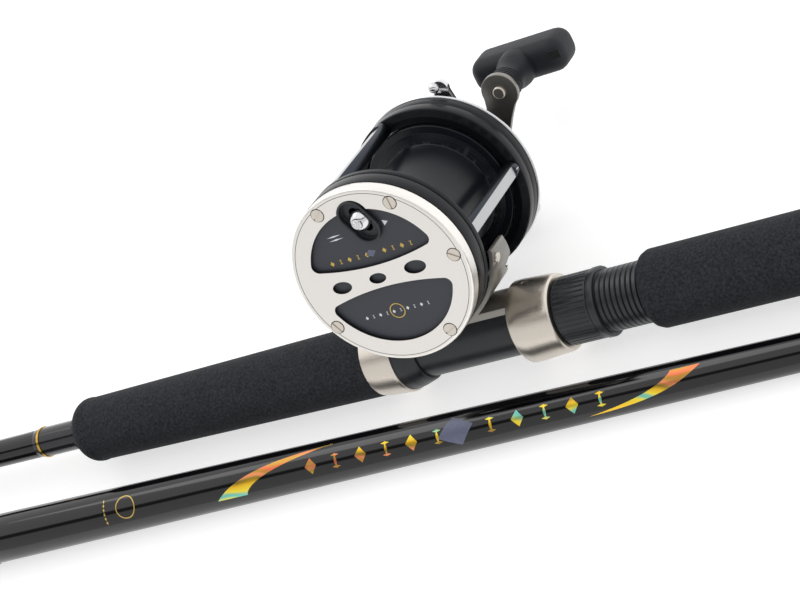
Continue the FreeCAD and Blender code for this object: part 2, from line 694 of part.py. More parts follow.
def yoke():
    """A forked plate round the pinion's neck, moved by the lever's cam."""
    corners = [(-16.0, -2.0), (16.0, -2.0), (16.0, 7.6), (6.8, 7.6), (6.8, 3.0), (-6.8, 3.0),
               (-6.8, 7.6), (-16.0, 7.6)]
    points = [vec(x, 0, SPOOL_H + z + 5.4) for x, z in corners]
    face = Part.Face(Part.makePolygon(points + points[:1]))
    body = slab_y(face, 31.0, 32.05)
    body = body.cut(tube_y(30, 33, 3.85))
    for side in (-1, 1):
        body = body.cut(tube_y(30, 33, 1.0, 0, (side * 12.5, 9.0)))
    return body


def free_spool_lever():
    y0, y1 = 42.6, 45.2
    top = (13.0, 38.6)
    hub = tube_y(y0, y1, 5.0, 0, LEVER_PIVOT)
    head = tube_y(y0, y1, 3.7, 0, top)
    dx, dz = top[0] - LEVER_PIVOT[0], top[1] - LEVER_PIVOT[1]
    run = math.hypot(dx, dz)
    nx, nz = -dz / run, dx / run
    corners = []
    for point, half in ((LEVER_PIVOT, 3.8), (top, 3.2), (top, -3.2), (LEVER_PIVOT, -3.8)):
        corners.append(vec(point[0] + nx * half, 0, SPOOL_H + point[1] + nz * half))
    web = slab_y(Part.Face(Part.makePolygon(corners + corners[:1])), y0, y1)
    ball = Part.makeSphere(2.5, vec(top[0] - 2.4, y0 + 0.4, SPOOL_H + top[1] + 1.4))
    axle = tube_y(33.4, y0, 2.5, 0, LEVER_PIVOT)
    return fuse([hub, head, web, ball, axle])


def lever_cam():
    return tube_y(31.9, 33.4, 5.4, 0, (LEVER_PIVOT[0] - 1.8, LEVER_PIVOT[1]))


# --- reel: crank, drag and handle ---

def gear_sleeve():
    body = tube_y(31.9, 58.0, 3.6, 2.0, CRANK)
    flange = tube_y(38.0, 38.6, 9.0, 2.0, CRANK)
    return fuse([body, flange])


def main_gear():
    phase = math.degrees(math.atan2(-CRANK[1], -CRANK[0]))
    body = gear(GEAR_TEETH, 33.6, 37.4, 3.6, CRANK, phase)
    return body.cut(tube_y(35.0, 38.0, 12.0, 3.6, CRANK))


def drag_washers():
    stack = []
    for i in range(4):
        y = 35.0 + 0.75 * i
        outer = 11.6 if i % 2 else 11.0
        stack.append(tube_y(y, y + 0.75, outer, 3.6, CRANK))
    return Part.makeCompound(stack)


def ratchet():
    teeth = 8
    points = []
    for i in range(teeth):
        for radius, part in ((7.4, 0.0), (5.8, 0.06), (6.2, 0.5)):
            x, z = polar(radius, 360.0 * (i + part) / teeth)
            points.append(vec(CRANK[0] + x, 0, SPOOL_H + CRANK[1] + z))
    face = Part.Face(Part.makePolygon(points + points[:1]))
    return slab_y(face, 31.9, 33.3).cut(tube_y(31, 34, 3.6, 0, CRANK))


def dog():
    """The anti-reverse dog on its pin, standing off the ratchet."""
    at = (DOG[0], DOG[1])
    hub = tube_y(31.5, 33.1, 2.4, 0, at)
    dx, dz = CRANK[0] - at[0], CRANK[1] - at[1]
    run = math.hypot(dx, dz)
    ux, uz = dx / run, dz / run
    corners = []
    for along, half in ((0.0, 2.0), (run - 9.0, 1.4), (run - 7.9, 0.4), (run - 9.0, -0.8),
                        (0.0, -2.0)):
        corners.append(vec(at[0] + ux * along - uz * half, 0,
                           SPOOL_H + at[1] + uz * along + ux * half))
    blade = slab_y(Part.Face(Part.makePolygon(corners + corners[:1])), 31.5, 33.1)
    return fuse([hub, blade]).cut(tube_y(31, 34, 1.0 + FIT, 0, at))


def dog_pin():
    return tube_y(BRIDGE_END, 33.5, 1.0, 0, DOG)


def star_wheel():
    hub = tube_y(STAR_Y - 3.2, STAR_Y + 3.0, 6.4, 0, CRANK)
    pieces = [hub]
    for i in range(6):
        x, z = polar(1.0, -90.0 + 60.0 * i)
        out = vec(x, 0, z)
        centre = vec(CRANK[0], STAR_Y, SPOOL_H + CRANK[1])
        pieces.append(Part.makeCone(3.0, 2.2, STAR_REACH - 4, centre + out * 4, out))
        pieces.append(Part.makeSphere(STAR_BALL_R, centre + out * STAR_REACH))
    return fuse(pieces).cut(tube_y(STAR_Y - 6, STAR_Y + 6, 3.6 + FIT, 0, CRANK))


def handle_arm():
    dx, dz = KNOB[0] - CRANK[0], KNOB[1] - CRANK[1]
    run = math.hypot(dx, dz)
    ux, uz = dx / run, dz / run

    def at(along, half):
        return vec(CRANK[0] + ux * along - uz * half, 0, SPOOL_H + CRANK[1] + uz * along
                   + ux * half)

    neck = 4.4
    edges = []
    for side in (1, -1):
        edges.append(Part.Arc(at(0, 8.4 * side), at(run * 0.52, neck * side),
                              at(run, 8.2 * side)).toShape())
    edges.append(Part.LineSegment(at(run, 8.2), at(run, -8.2)).toShape())
    edges.append(Part.LineSegment(at(0, -8.4), at(0, 8.4)).toShape())
    web = Part.Face(Part.Wire(Part.__sortEdges__(edges)))
    body = slab_y(web, ARM_Y, ARM_Y + ARM_T)
    body = body.fuse(tube_y(ARM_Y, ARM_Y + ARM_T, 8.4, 0, CRANK))
    body = body.fuse(tube_y(ARM_Y, ARM_Y + ARM_T, 8.2, 0, KNOB)).removeSplitter()
    body = body.cut(tube_y(ARM_Y - 1, ARM_Y + 9, 3.6, 0, CRANK))
    return body.cut(tube_y(ARM_Y - 1, ARM_Y + 9, 2.2, 0, KNOB))


def handle_nut():
    points = []
    for i in range(6):
        x, z = polar(6.2, 60.0 * i)
        points.append(vec(CRANK[0] + x, 0, SPOOL_H + CRANK[1] + z))
    body = slab_y(Part.Face(Part.makePolygon(points + points[:1])), 58.0, 61.0)
    dome = tube_y(61.0, 62.4, 4.6, 0, CRANK)
    return fuse([body, rounded(dome, 1.0, lambda b: b.YMin > 62.3)])


def knob_spindle():
    rivet = tube_y(ARM_Y - 1.1, ARM_Y, 2.8, 0, KNOB)
    rivet = rounded(rivet, 0.7, lambda b: b.YMax < ARM_Y - 1.0)
    pin = tube_y(ARM_Y, 86.0, 2.2, 0, KNOB)
    head = tube_y(86.0, 87.2, 3.4, 0, KNOB)
    return fuse([rivet, pin, head])


def knob_grip():
    """A rounded cross bar on a ribbed conical neck."""
    bar_x, bar_y, bar_z = KNOB_BAR
    y0 = KNOB_BAR_START
    bar = Part.makeBox(bar_x, bar_y, bar_z, vec(KNOB[0] - bar_x / 2, y0,
                                                SPOOL_H + KNOB[1] - bar_z / 2))
    bar = rounded(bar, 6.0, lambda b: True)
    neck = turned_y([(58.5, 0), (58.5, 6.6), (61.0, 6.6), (66.0, 5.4), (74.5, 6.6), (80.0, 6.6),
                     (80.0, 0)], KNOB)
    body = fuse([bar, neck])
    body = body.cut(tube_y(50, 85.7, 2.2 + FIT, 0, KNOB))
    return body.cut(tube_y(85.6, 88.0, 3.8, 0, KNOB))


# --- tip section, drawn along its own axis ---

def tip_radius(along):
    return TIP_BUTT_R - TIP_TAPER * along


def tip_blank():
    body = turned_x([(0, 0), (0, TIP_BUTT_R), (TIP_LENGTH, tip_radius(TIP_LENGTH)),
                     (TIP_LENGTH, 0)])
    return body.cut(tube_x(-1, SOCKET_DEPTH, SOCKET_R))


def socket_band():
    r0, r1 = tip_radius(2.0), tip_radius(30.0)
    return turned_x([(2.0, r0), (2.0, r0 + 0.4), (30.0, r1 + 0.4), (30.0, r1)])


def tip_top():
    """The tube cap at the tip, with its two stays and hoop, and the hoop's ring insert."""
    bore = 4.2
    end_r = tip_radius(TIP_LENGTH - 14.0) + 0.02
    centre = vec(TIP_LENGTH + 8.0, 0, 8.5)
    cap = tube_x(TIP_LENGTH - 14.0, TIP_LENGTH + 1.5, end_r + 0.4)
    hoop = Part.makeCylinder(bore + 2.6, 1.8, centre - vec(0.9, 0, 0), AXIS_X)
    stays = [cap, hoop]
    for side in (-1, 1):
        y, z = polar(bore + 2.0, 270 + side * 50)
        top = centre + vec(0, y, z)
        low = vec(TIP_LENGTH - 4.0, side * 1.2, end_r * 0.5)
        run = top - low
        stays += [Part.makeCylinder(0.8, run.Length, low, run), Part.makeSphere(0.8, top)]
        back = vec(TIP_LENGTH - 12.0, side * 1.0, end_r)
        rise = centre + vec(-0.4, side * (bore + 2.0), 1.0) - back
        stays += [Part.makeCylinder(0.7, rise.Length, back, rise)]
    body = stays[0]
    for stay in stays[1:]:
        body = body.fuse(stay)
    taper = Part.makeCone(tip_radius(TIP_LENGTH - 60) + GLUE, tip_radius(TIP_LENGTH) + GLUE, 60,
                          vec(TIP_LENGTH - 60, 0, 0), AXIS_X)
    body = body.cut(taper).cut(Part.makeCylinder(bore + 1.8, 12, centre - vec(6, 0, 0), AXIS_X))
    seat = Part.makeCylinder(bore + 1.8, 1.8, centre - vec(0.9, 0, 0), AXIS_X)
    seat = seat.cut(Part.makeCylinder(bore + 0.9, 4, centre - vec(2, 0, 0), AXIS_X))
    ring = Part.makeTorus(bore + 0.9, 0.9, centre, AXIS_X).fuse(seat)
    return max(body.Solids, key=lambda s: s.Volume), ring


def build_rod():
    save("handle_blank", handle_blank())
    save("foregrip", foregrip())
    save("winding_trim_ring", trim_ring())
    save("winding_check", winding_check())
    save("rear_grip", rear_grip())
    save("butt_cap", butt_cap())
    save("seat_barrel", seat_barrel())
    save("seat_thread", seat_thread())
    save("fixed_hood", fixed_hood())
    save("hood_collar", hood_collar())
    save("moving_hood", moving_hood())
    save("hood_nut", hood_nut())
    save("ferrule_sleeve", ferrule_sleeve())
    slope = (BLANK_R - BLANK_TIP_R) / (WINDING_START - SLEEVE_END)
    blank_r = BLANK_TIP_R + slope * (GUIDE_X - SLEEVE_END)
    frame, ring, wraps = guide_parts(GUIDE_X, blank_r, -slope, 11.5, 26.0)
    save("stripper_frame", frame)
    save("stripper_ring", ring)
    save("handle_wraps", Part.makeCompound([winding()] + wraps))


def build_reel():
    save("left_side_cap", left_side_cap())
    save("window_plate", window_plate())
    save("clicker_escutcheon", clicker_escutcheon())
    save("left_bearing_plate", left_bearing_plate())
    save("left_frame_ring", left_frame_ring())
    save("right_frame_ring", right_frame_ring())
    save("side_screws", side_screws())
    for name, pillar in zip(("rear_pillar", "top_pillar", "front_pillar", "lower_pillar"),
                            pillars()):
        save(name, pillar)
    save("reel_stand", reel_stand())
    save("right_housing", right_housing())
    save("right_rim", right_rim())
    save("bridge_plate", bridge_plate())
    save("small_screws", Part.makeCompound(stand_screws() + bridge_screws()))
    save("left_bearing", bearing(-33.5, -29.4, 6.0))
    save("right_bearing", bearing(39.4, 42.9, 6.0))
    save("bearing_cap", bearing_cap())
    save("spool", spool())
    save("spool_shaft", spool_shaft())
    save("click_gear", click_gear())
    save("clicker_button", clicker_button())
    save("click_tongue", click_tongue())
    save("pinion", pinion())
    save("yoke", yoke())
    save("free_spool_lever", free_spool_lever())
    save("lever_cam", lever_cam())
    save("gear_sleeve", gear_sleeve())
    save("main_gear", main_gear())
    save("drag_washers", drag_washers())
    save("ratchet", ratchet())
    save("dog", dog())
    save("dog_pin", dog_pin())
    save("star_wheel", star_wheel())
    save("handle_arm", handle_arm())
    save("handle_nut", handle_nut())
    save("knob_spindle", knob_spindle())
    save("knob_grip", knob_grip())


def build_tip():
    save("tip_blank", tip_blank(), lay_tip)
    top_frame, top_ring = tip_top()
    frames, rings, wraps = [top_frame], [top_ring], [socket_band()]
    for along, bore, height in TIP_GUIDES:
        parts = guide_parts(along, tip_radius(along), TIP_TAPER, bore, height)
        frames.append(parts[0])
        rings.append(parts[1])
        wraps += parts[2]
    save("tip_guide_frames", Part.makeCompound(frames), lay_tip)
    save("tip_guide_rings", Part.makeCompound(rings), lay_tip)
    save("tip_wraps", Part.makeCompound(wraps), lay_tip)


os.makedirs("parts", exist_ok=True)
build_rod()
build_reel()
build_tip()
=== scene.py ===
import json
import math

import bmesh
import bpy
from mathutils import Matrix, Vector


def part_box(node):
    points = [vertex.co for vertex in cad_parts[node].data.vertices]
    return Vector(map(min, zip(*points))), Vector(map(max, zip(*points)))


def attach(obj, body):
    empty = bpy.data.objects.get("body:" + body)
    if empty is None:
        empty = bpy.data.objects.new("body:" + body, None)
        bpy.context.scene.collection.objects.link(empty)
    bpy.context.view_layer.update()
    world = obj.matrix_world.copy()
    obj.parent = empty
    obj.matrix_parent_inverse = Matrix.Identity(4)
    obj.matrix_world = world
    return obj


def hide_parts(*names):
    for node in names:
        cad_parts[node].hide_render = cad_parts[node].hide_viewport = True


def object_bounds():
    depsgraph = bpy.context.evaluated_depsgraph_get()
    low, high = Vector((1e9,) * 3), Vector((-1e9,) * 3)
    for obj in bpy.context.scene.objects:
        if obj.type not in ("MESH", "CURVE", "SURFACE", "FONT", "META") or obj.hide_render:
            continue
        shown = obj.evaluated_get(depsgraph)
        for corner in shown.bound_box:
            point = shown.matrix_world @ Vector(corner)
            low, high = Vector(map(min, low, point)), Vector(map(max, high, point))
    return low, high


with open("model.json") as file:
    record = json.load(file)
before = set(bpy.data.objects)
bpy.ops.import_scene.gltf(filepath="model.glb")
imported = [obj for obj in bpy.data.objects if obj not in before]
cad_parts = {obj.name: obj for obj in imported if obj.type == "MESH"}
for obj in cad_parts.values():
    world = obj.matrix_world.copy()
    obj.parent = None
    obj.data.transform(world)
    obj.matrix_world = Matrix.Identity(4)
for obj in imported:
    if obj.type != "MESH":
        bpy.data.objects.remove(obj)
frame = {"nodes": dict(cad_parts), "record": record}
cad_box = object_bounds()

# A trolling rod taken apart, with a star drag reel on its handle section. Pieces are drawn upright,
# with x along the rod from under the spool, y from the silver side plate to the crank and z up from
# the rod's axis, and then laid down with the lean that the spool's axis has in the frame.

MM = 0.001
RECORD = frame["record"]
JOINTS = {joint["name"]: joint for joint in RECORD["behaviour"]["joints"]}
MOUNTS = {mount["name"]: mount for mount in RECORD["mounts"]}
SLOT_OF = {part["node"]: part["material_slot"] for part in RECORD["subparts"]}
BODY_OF = {node: body for body, nodes in RECORD["behaviour"]["bodies"].items()
           for node in nodes}
SPOOL_AXIS = Vector(JOINTS["spool_spin"]["axis"]).normalized()
SPOOL_AT = Vector(JOINTS["spool_spin"]["pos_m"])
LEAN = math.atan2(-SPOOL_AXIS.z, SPOOL_AXIS.y)
LAY = Matrix.Translation((SPOOL_AT.x, 0, 0)) @ Matrix.Rotation(-LEAN, 4, "X")
SPOOL_UP = LAY.inverted() @ SPOOL_AT
KNOB_UP = LAY.inverted() @ Vector(JOINTS["knob_spin"]["pos_m"])

# reel, in millimetres from the spool's axis
FACE_Y = -41.0              # outside of the silver cap
PLATE_Y = -39.4             # slate plate behind the cap's windows
WINDOW_R = 31.5             # the windows' walls all lie inside this radius
# dark line near the cap's rim: painted shade of a groove
RIM_LINE_R = 37.2
RIM_LINE_W = 0.22
SCREW_RING_R = 34.8
SCREW_ANGLES = (1.0, 56.0, 113.0, 209.0, 300.0)
SCREW_LINE_R = 3.0
SCREW_LINE_W = 0.3
CLICKER_AT = (2.4, 24.6)    # in x and z
CLICKER_R = 4.5
CLICKER_TOP = FACE_Y - 2.6
CLICKER_BASE = FACE_Y + 1.9
STEM_R = 1.6
STEM_END = -31.6
KNOB_BAR = (45.0, 20.0, 15.5)
KNOB_BAR_START = 77.0
KNOB_EDGE = 6.0
# size and place of the dark plate, a painted shade for the knob's recess
KNOB_RECESS = (5.6, 0.3, 4.2)
KNOB_RECESS_AT = (19.4, 1.4)
SPINDLE_R = 2.3
NECK_START = 58.5
NECK_END = 80.0
NECK_R = 7.0
RIB_START = 60.0
RIB_PITCH = 1.5
RIB_COUNT = 4
RIB_DEPTH = 0.5

# printed marks on the plate: start, end, level and height of a row, or size and place
GOLD_ROW = (-19.2, 18.6, 9.6, 2.3)
WHITE_ROW = (-16.6, 13.0, -17.1, 1.7)
PLATE_LOZENGE = ((2.6, 1.7), (-0.3, 9.9))
PLATE_LOZENGE_TILT = 12.0
PLATE_RING_R = 3.4
PLATE_RING_W = 0.4
PLATE_RING_AT = (-1.8, -17.1)
POINTER_R = 1.5
POINTER_AT = (12.2, 21.0)
POINTER_TILT = 35.0
DASH = (3.4, 0.35)
DASHES_AT = ((-12.6, 20.9), (-12.1, 19.3))
DASH_TILT = 2.0
MARK_LIFT = 0.05            # thickness of ink and foil over what they lie on
LINE_LIFT = 0.02

# tip section, in millimetres from its socket's mouth
TIP_BUTT_R = 11.6
TIP_TAPER = 0.0089          # radius lost per millimetre
TIP_LENGTH = 1130.0
SOCKET_R = MOUNTS["tip_socket"]["dims"]["r_mm"]
SOCKET_DEPTH = MOUNTS["tip_socket"]["dims"]["length_mm"]
MARK_TURN = math.radians(-26.6)     # the marks lie on the side that faces up and out
MARK_EDGE = 0.9             # longest edge of a mark, so that it follows the blank's curve
FOIL_ROW = (219.0, 360.0, 0.0, 7.0)
TIP_LOZENGE = ((9.0, 6.6), (292.0, 0.6))
TIP_LOZENGE_TILT = 10.0
TIP_RING_R = 5.4
TIP_RING_W = 0.5
TIP_RING_AT = (118.0, 1.0)
DOT = (0.5, 0.9)
DOT_COUNT = 6
DOTS_AT = (106.0, 5.6)
DOT_PITCH = 2.0
LEFT_FLASH = (231.0, 167.0, 1.0)    # pointed end, wide end and size
RIGHT_FLASH = (353.0, 405.0, 0.82)
FLASH_UPPER = ((0, -6.3), (16.0, 6.75), (64.0, 8.0))
FLASH_LOWER = ((16.0, -6.3), (19.4, 2.15), (64.0, 8.0))
FOIL_BAND = 13.0            # height over which the foil's colours run once


def tip_place():
    """The tip section's own frame: x along it from its socket's mouth, z up."""
    out_of_socket = Vector(MOUNTS["tip_socket"]["axis"]).normalized()
    mouth = Vector(MOUNTS["tip_socket"]["pos_m"]) + out_of_socket * SOCKET_DEPTH / 2 * MM
    along = -out_of_socket
    side = Vector((0, 0, 1)).cross(along).normalized()
    up = along.cross(side)
    turn = Matrix((along, side, up)).transposed().to_4x4()
    return Matrix.Translation(mouth) @ turn


TIP_PLACE = tip_place()

CAMERA_PLACE = (0.1866, -0.4454, 0.8042)
CAMERA_AIM = (-0.3700, 0.0137, 0.0189)
CAMERA_ROLL = math.radians(-56.55)
CAMERA_LENS = 114.6
FLOOR_HALF = 6.0
FLOOR_GLOW = 0.62
GAP_MIDDLE = math.radians(-27.0)    # dark gap between the softboxes, seen from the rod
GAP_HALF = math.radians(8.0)
KEY_PLACE = (-1.2, 0.9, 1.5)
KEY_AIM = (-0.35, 0.0, 0.0)
KEY_SIZE = 1.0
KEY_POWER = 5.0


def colour(code):
    """An sRGB hex colour as linear RGBA."""
    parts = [int(code[i:i + 2], 16) / 255 for i in (1, 3, 5)]
    return [p / 12.92 if p <= 0.04045 else ((p + 0.055) / 1.055) ** 2.4 for p in parts] + [1.0]


def add(owner, kind, inputs=None, to=None, **settings):
    """Add a shader node with its settings and links; a node among the inputs gives its output."""
    tree = owner.node_tree
    node = tree.nodes.new("ShaderNode" + kind)
    for name, value in settings.items():
        setattr(node, name, value)
    for socket, value in (inputs or {}).items():
        if isinstance(value, bpy.types.Node):
            value = next(output for output in value.outputs if output.enabled)
        if isinstance(value, bpy.types.NodeSocket):
            tree.links.new(value, node.inputs[socket])
        else:
            node.inputs[socket].default_value = value
    if to:
        tree.links.new(next(output for output in node.outputs if output.enabled), to)
    return node


def new_material(name, base, metallic, roughness, **sockets):
    """A material with only its shader, whose fixed values are set on the shader's own sockets."""
    material = bpy.data.materials.new(name)
    material.use_nodes = True
    shader = material.node_tree.nodes["Principled BSDF"].inputs
    shader["Base Color"].default_value = colour(base)
    shader["Metallic"].default_value = metallic
    shader["Roughness"].default_value = roughness
    for socket, value in sockets.items():
        shader[socket.replace("_", " ")].default_value = value
    return material, shader


def upright_place(material, centre=(0.0, 0.0, 0.0)):
    """Object coordinates turned upright, measured from a point given upright."""
    place = add(material, "TexCoord").outputs["Object"]
    shift = (-SPOOL_AT.x - centre[0], -centre[1], -centre[2])
    return add(material, "Mapping", {"Vector": place, "Location": shift,
                                     "Rotation": (LEAN, 0, 0)})


def grained(name, base, metallic, roughness, grain_mm, detail, rough=None, tones=None,
            relief=None, stretch=None, **sockets):
    """A material whose roughness, tone or relief follows one fine grain of a real size.

    rough is the lowest and highest roughness, tones the two colours that the grain runs
    between, and relief the height in millimetres and the strength of its bumps. A grain
    finer than about half a millimetre is drawn coarser than it is, so that it shows."""
    material, shader = new_material(name, base, metallic, roughness, **sockets)
    place = upright_place(material)
    if stretch:
        place = add(material, "Mapping", {"Vector": place, "Scale": stretch})
    grain = add(material, "TexNoise", {"Vector": place, "Scale": 1000.0 / grain_mm,
                                       "Detail": detail, "Roughness": 0.55})
    if rough:
        add(material, "MapRange", {"Value": grain, "To Min": rough[0], "To Max": rough[1]},
            shader["Roughness"])
    if tones:
        add(material, "Mix", {0: grain, 6: colour(tones[0]), 7: colour(tones[1])},
            shader["Base Color"], data_type="RGBA")
    if relief:
        add(material, "Bump", {"Height": grain, "Distance": relief[0] * MM,
                               "Strength": relief[1]}, shader["Normal"])
    return material


# --- making a piece ---

def finish_piece(name, mesh, body, materials, slot, replaced=(), sharp_deg=40.0, flats=()):
    """Store a mesh that is already in its place as a piece on a body, smooth but for its flats."""
    mesh.faces.index_update()
    flat_at = [face.index for face in flats]
    data = bpy.data.meshes.new(name)
    mesh.to_mesh(data)
    mesh.free()
    data.shade_smooth()
    data.set_sharp_from_angle(angle=math.radians(sharp_deg))
    for index in flat_at:
        data.polygons[index].use_smooth = False
    for material in materials:
        data.materials.append(material)
    piece = bpy.data.objects.new(name, data)
    bpy.context.scene.collection.objects.link(piece)
    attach(piece, body)
    if replaced:
        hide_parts(*replaced)


def place_upright(mesh):
    """Millimetres in the upright drawing to metres in the frame."""
    bmesh.ops.transform(mesh, matrix=LAY @ Matrix.Scale(MM, 4), verts=mesh.verts)


def turned(mesh, outline, centre, axis, radial, steps):
    """Spin an outline of (along, radius) points round an axis; its ends are on the axis or meet."""
    axis, radial, centre = Vector(axis), Vector(radial), Vector(centre)
    verts = [mesh.verts.new(centre + axis * along + radial * radius) for along, radius in outline]
    edges = [mesh.edges.new(pair) for pair in zip(verts, verts[1:])]
    bmesh.ops.spin(mesh, geom=verts + edges, cent=centre, axis=axis, dvec=(0, 0, 0),
                   angle=2 * math.pi, steps=steps, use_merge=True, use_duplicate=False)
    bmesh.ops.remove_doubles(mesh, verts=mesh.verts, dist=1e-4)
    bmesh.ops.recalc_face_normals(mesh, faces=mesh.faces)


def dress(node, materials, edge_mm, pick_material=None, segments=2):
    """Replace a CAD node by a copy of itself with its sharp edges rounded."""
    mesh = bmesh.new()
    mesh.from_mesh(frame["nodes"][node].data)
    bmesh.ops.remove_doubles(mesh, verts=mesh.verts, dist=2e-6)
    bmesh.ops.dissolve_limit(mesh, angle_limit=math.radians(0.6), verts=mesh.verts,
                             edges=mesh.edges)
    sharp = [edge for edge in mesh.edges
             if edge.is_manifold and edge.calc_face_angle() > math.radians(35)]
    bmesh.ops.bevel(mesh, geom=sharp, offset=edge_mm * MM, offset_type="OFFSET",
                    segments=segments, profile=0.5, affect="EDGES", material=-1,
                    clamp_overlap=True)
    bmesh.ops.remove_doubles(mesh, verts=mesh.verts, dist=1e-6)
    if pick_material:
        for face in mesh.faces:
            face.material_index = pick_material(face)
    mesh.normal_update()
    flats = [face for face in mesh.faces if len(face.verts) > 4
             or any(edge.is_manifold and edge.calc_face_angle() < math.radians(0.3)
                    for edge in face.edges)]
    finish_piece(node + "_dressed", mesh, BODY_OF[node], materials, SLOT_OF[node], (node,), 50.0,
                 flats)


# --- finishes ---

def eva_foam():
    """Moulded EVA foam: a matt charcoal with fine closed cells and a faint mottle."""
    material, shader = new_material("eva_foam", "#1c1d1f", 0.0, 0.85, Specular_IOR_Level=0.22)
    place = upright_place(material)
    # cells 1.1 mm across, coarser than real ones, so that they show
    cells = add(material, "TexNoise", {"Vector": place, "Scale": 1000.0 / 1.1, "Detail": 4.0,
                                       "Roughness": 0.65})
    mottle = add(material, "TexNoise", {"Vector": place, "Scale": 1000.0 / 9.0, "Detail": 2.0,
                                        "Roughness": 0.55})
    both = add(material, "Math", {0: add(material, "Math", {0: cells, 1: 0.9},
                                         operation="MULTIPLY"),
                                  1: add(material, "Math", {0: mottle, 1: 0.1},
                                         operation="MULTIPLY")}, operation="ADD")
    tone = add(material, "MapRange", {"Value": both, "From Min": 0.35, "From Max": 0.65})
    add(material, "Mix", {0: tone, 6: colour("#111216"), 7: colour("#313338")},
        shader["Base Color"], data_type="RGBA")
    add(material, "MapRange", {"Value": cells, "To Min": 0.72, "To Max": 0.9},
        shader["Roughness"])
    add(material, "Bump", {"Height": cells, "Distance": 0.3 * MM, "Strength": 0.7},
        shader["Normal"])
    return material


def moulded_rubber():
    """Satin black moulded rubber of the butt cap."""
    return grained("moulded_rubber", "#1c1c1d", 0.0, 0.6, 1.4, 3.0, rough=(0.5, 0.68),
                   relief=(0.08, 0.4))


def soft_grip_rubber():
    """Soft-touch black elastomer of the crank's knob: dull, with a fine grain."""
    return grained("soft_grip_rubber", "#1a1c22", 0.0, 0.5, 0.8, 3.0, rough=(0.46, 0.64),
                   relief=(0.06, 0.5), Specular_IOR_Level=0.3)


def varnished_blank():
    """Black glass-fibre tube under gloss varnish, with the faint long ripple of the wrap."""
    return grained("varnished_blank", "#050507", 0.0, 0.09, 14.0, 1.0, relief=(0.06, 0.2),
                   IOR=1.52)


def graphite_nylon():
    """Moulded graphite-filled nylon: slate, satin, with a slight flow mottle."""
    return grained("graphite_nylon", "#181c20", 0.0, 0.38, 6.0, 3.0, rough=(0.3, 0.42),
                   tones=("#14171b", "#23282d"))


def polished_stainless():
    """Polished stainless steel of hoods, screws and guides: warm, with streaks round the rod."""
    return grained("polished_stainless", "#d9d1c6", 1.0, 0.3, 3.0, 4.0, rough=(0.24, 0.42),
                   stretch=(6.0, 0.6, 0.6))


def satin_silver():
    """Die-cast side cap with a satin silver coating."""
    return grained("satin_silver", "#ece8e3", 0.85, 0.28, 0.7, 2.0, rough=(0.26, 0.36),
                   relief=(0.02, 0.2))


def slate_enamel():
    """Slate enamel of the plate behind the cap's windows: even and half matt."""
    return grained("slate_enamel", "#2f3139", 0.0, 0.42, 0.5, 2.0, rough=(0.34, 0.48))


def black_coating():
    """Black semi-gloss coating of the frame rings and the gear housing."""
    return grained("black_coating", "#0e1014", 0.0, 0.3, 0.6, 2.0, rough=(0.24, 0.36),
                   Specular_IOR_Level=0.16)


def bright_chrome():
    """Bright chrome plate, with the faint waviness of polishing."""
    return grained("bright_chrome", "#d8d8da", 1.0, 0.14, 5.0, 2.0, rough=(0.11, 0.2))


def dark_nickel():
    """Dark nickel plate over brushed steel: a warm grey, blurred sheen."""
    return grained("dark_nickel", "#8f8c87", 1.0, 0.38, 2.0, 3.0, rough=(0.34, 0.46))


def machined_steel():
    """Plain machined steel of the inner pieces."""
    return grained("machined_steel", "#9b9a97", 1.0, 0.32, 0.8, 3.0, rough=(0.24, 0.42))


def cut_bronze():
    """Cut bronze of the gears, a little darker where it is greased."""
    return grained("cut_bronze", "#b08a4e", 1.0, 0.3, 4.0, 2.0, tones=("#8e6a38", "#c49c5c"))


def spool_anodising():
    """Dark anodised turned aluminium with fine turning rings."""
    material, shader = new_material("spool_anodising", "#15171d", 0.0, 0.3,
                                    Specular_IOR_Level=0.3)
    place = upright_place(material, tuple(SPOOL_UP))
    parts = add(material, "SeparateXYZ", {0: place}).outputs
    squares = [add(material, "Math", {0: parts[i], 1: parts[i]}, operation="MULTIPLY")
               for i in (0, 2)]
    total = add(material, "Math", {0: squares[0], 1: squares[1]}, operation="ADD")
    radius = add(material, "Math", {0: total}, operation="SQRT")
    # rings about 0.4 mm apart, coarser than turned ones, so that they show
    rings = add(material, "TexNoise", {"W": radius, "Scale": 2500.0, "Detail": 2.0},
                noise_dimensions="1D")
    add(material, "MapRange", {"Value": rings, "To Min": 0.2, "To Max": 0.34},
        shader["Roughness"])
    add(material, "Bump", {"Height": rings, "Distance": 0.02 * MM, "Strength": 0.25},
        shader["Normal"])
    return material


def gold_foil():
    """Gold metallic trim ring: bright, slightly crinkled."""
    return grained("gold_foil", "#c9a24a", 1.0, 0.2, 1.5, 2.0, rough=(0.14, 0.3))


def wrap_thread():
    """Nylon thread under epoxy: fine turns along the rod below a clear gloss coat."""
    material, shader = new_material("wrap_thread", "#08080a", 0.0, 0.4, Coat_Weight=1.0,
                                    Coat_Roughness=0.06, Coat_IOR=1.5,
                                    Specular_IOR_Level=0.05)
    thread_mm = 0.5     # coarser than real thread, so that the turns show
    along = add(material, "SeparateXYZ", {0: upright_place(material)})
    phase = add(material, "Math", {0: along, 1: 2 * math.pi / (thread_mm * MM)},
                operation="MULTIPLY")
    turns = add(material, "Math", {0: phase}, operation="SINE")
    tone = add(material, "MapRange", {"Value": turns, "From Min": -1.0})
    add(material, "Mix", {0: tone, 6: colour("#0a0a0c"), 7: colour("#1d1d24")},
        shader["Base Color"], data_type="RGBA")
    return material


def guide_ceramic():
    """Polished dark oxide ceramic of the guides' rings."""
    return grained("guide_ceramic", "#22242a", 0.0, 0.12, 3.0, 2.0,
                   tones=("#1c1e24", "#2b2e36"))


def drag_fibre():
    """Woven fibre of the drag washers."""
    return grained("drag_fibre", "#4a4438", 0.0, 0.8, 0.6, 3.0, tones=("#3a352b", "#5a5345"))


